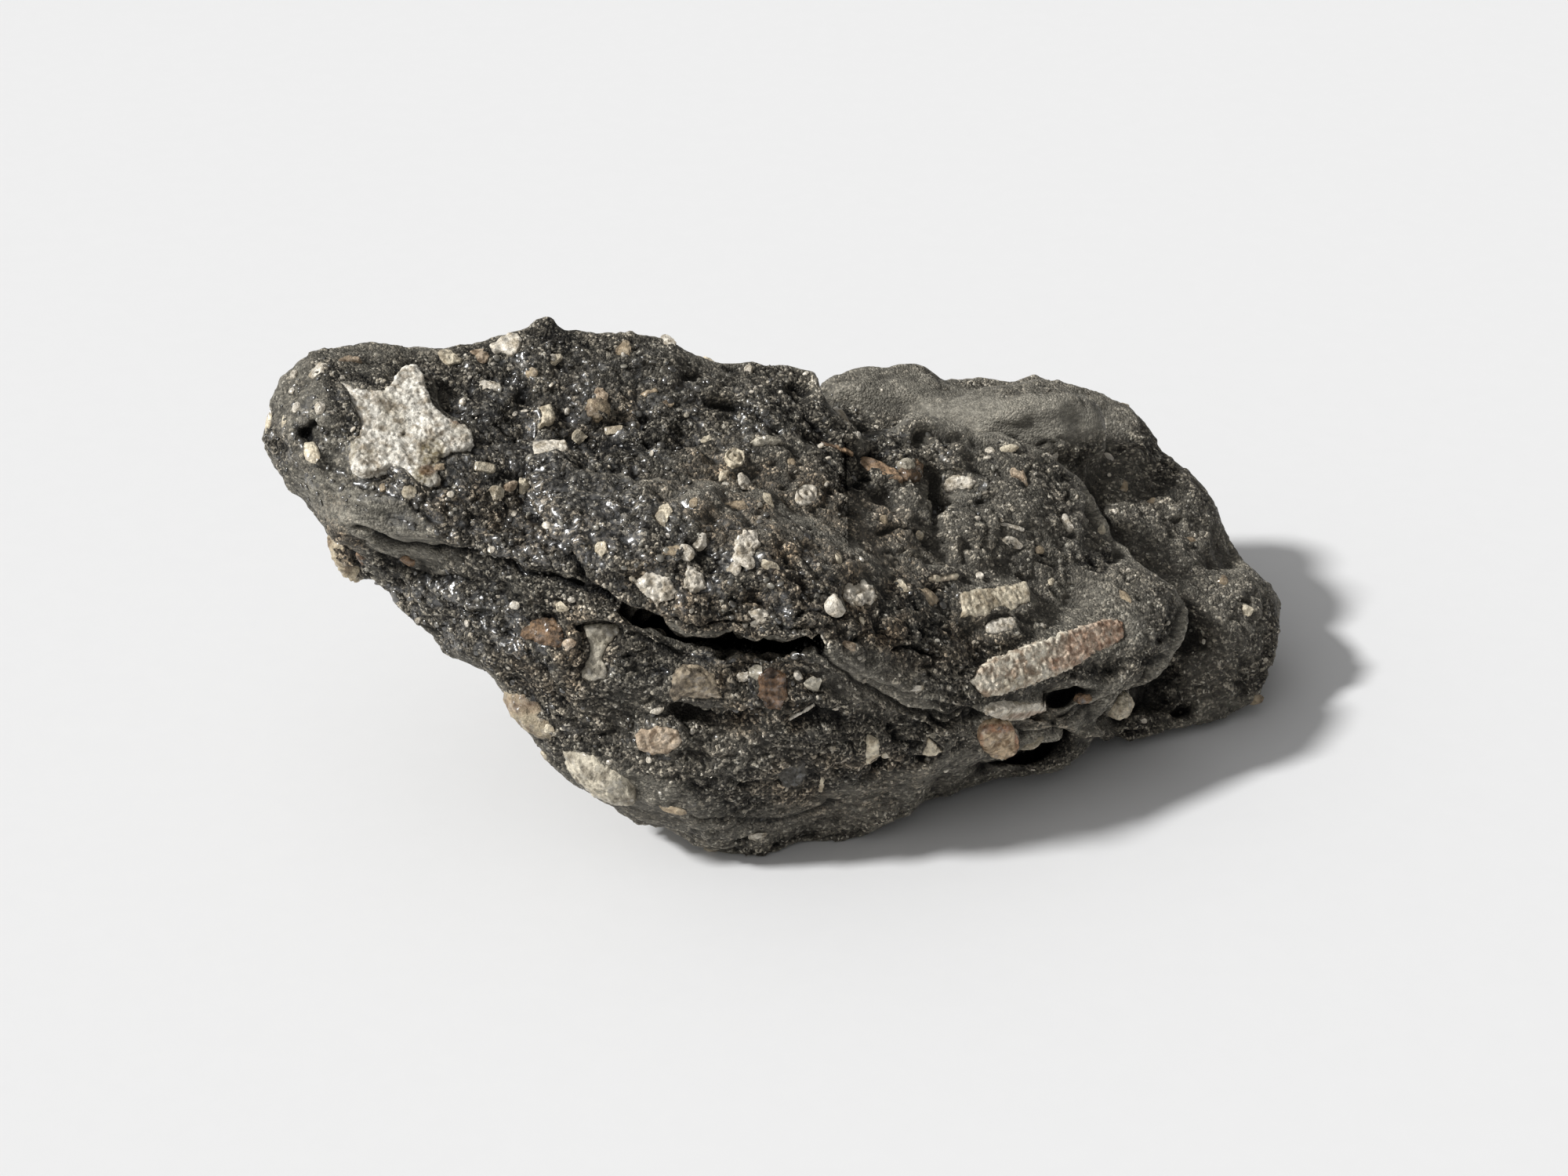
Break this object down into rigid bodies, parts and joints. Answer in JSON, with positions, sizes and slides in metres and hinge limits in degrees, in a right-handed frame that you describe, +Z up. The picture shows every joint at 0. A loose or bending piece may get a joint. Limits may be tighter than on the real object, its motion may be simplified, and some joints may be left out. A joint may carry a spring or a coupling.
{
  "type": "crinoid stem fossil",
  "caption": "Lump of dark crinoidal limestone with a star-shaped crinoid stem section and small stem pieces in its rough face.",
  "frame": {"origin": "middle of the lump's box, on the surface that it rests on", "axes": "+X along the lump's longest side, +Z up; the fossil face looks towards -Y and up"},
  "size_m": [0.0644, 0.042, 0.0285],
  "materials": {
    "dark_limestone": "rough, damp and sparkling in places, worn smooth on the edges",
    "cream_calcite": "crystalline, worn",
    "white_calcite": "crystalline",
    "tan_calcite": "worn, slightly glossy",
    "rusty_calcite": "worn, cream with red-brown stains",
    "brown_calcite": "glossy",
    "grey_green_calcite": "worn smooth"
  },
  "bodies": {
    "root": {"matrix_rock": "dark_limestone", "star_columnal": "cream_calcite", "long_stem_fragment": "rusty_calcite", "stem_block": "cream_calcite", "stem_block_small": "white_calcite", "shell_flake": "white_calcite", "upper_bar": "white_calcite", "right_bar": "white_calcite", "rod_fragment": "cream_calcite", "hourglass_plate": "grey_green_calcite", "ridge_flake": "white_calcite", "pale_triangle": "cream_calcite", "white_chip_left": "white_calcite", "white_chip_right": "white_calcite", "white_chip_middle": "white_calcite", "white_chip_upper": "white_calcite", "pale_chip_over_crack": "cream_calcite", "tan_chip": "tan_calcite", "cream_chip": "cream_calcite", "brown_chip": "tan_calcite", "grey_plate": "grey_green_calcite", "brown_plate": "brown_calcite", "pink_lens": "rusty_calcite", "brown_crystal": "brown_calcite", "pale_chip_low": "cream_calcite", "ring_columnal": "white_calcite", "ring_columnal_small": "grey_green_calcite", "keel_nodule_upper": "tan_calcite", "keel_nodule_lower": "cream_calcite", "edge_nodule": "tan_calcite", "pocket_ossicle": "brown_calcite", "pale_knob": "cream_calcite"}
  },
  "joints": []
}
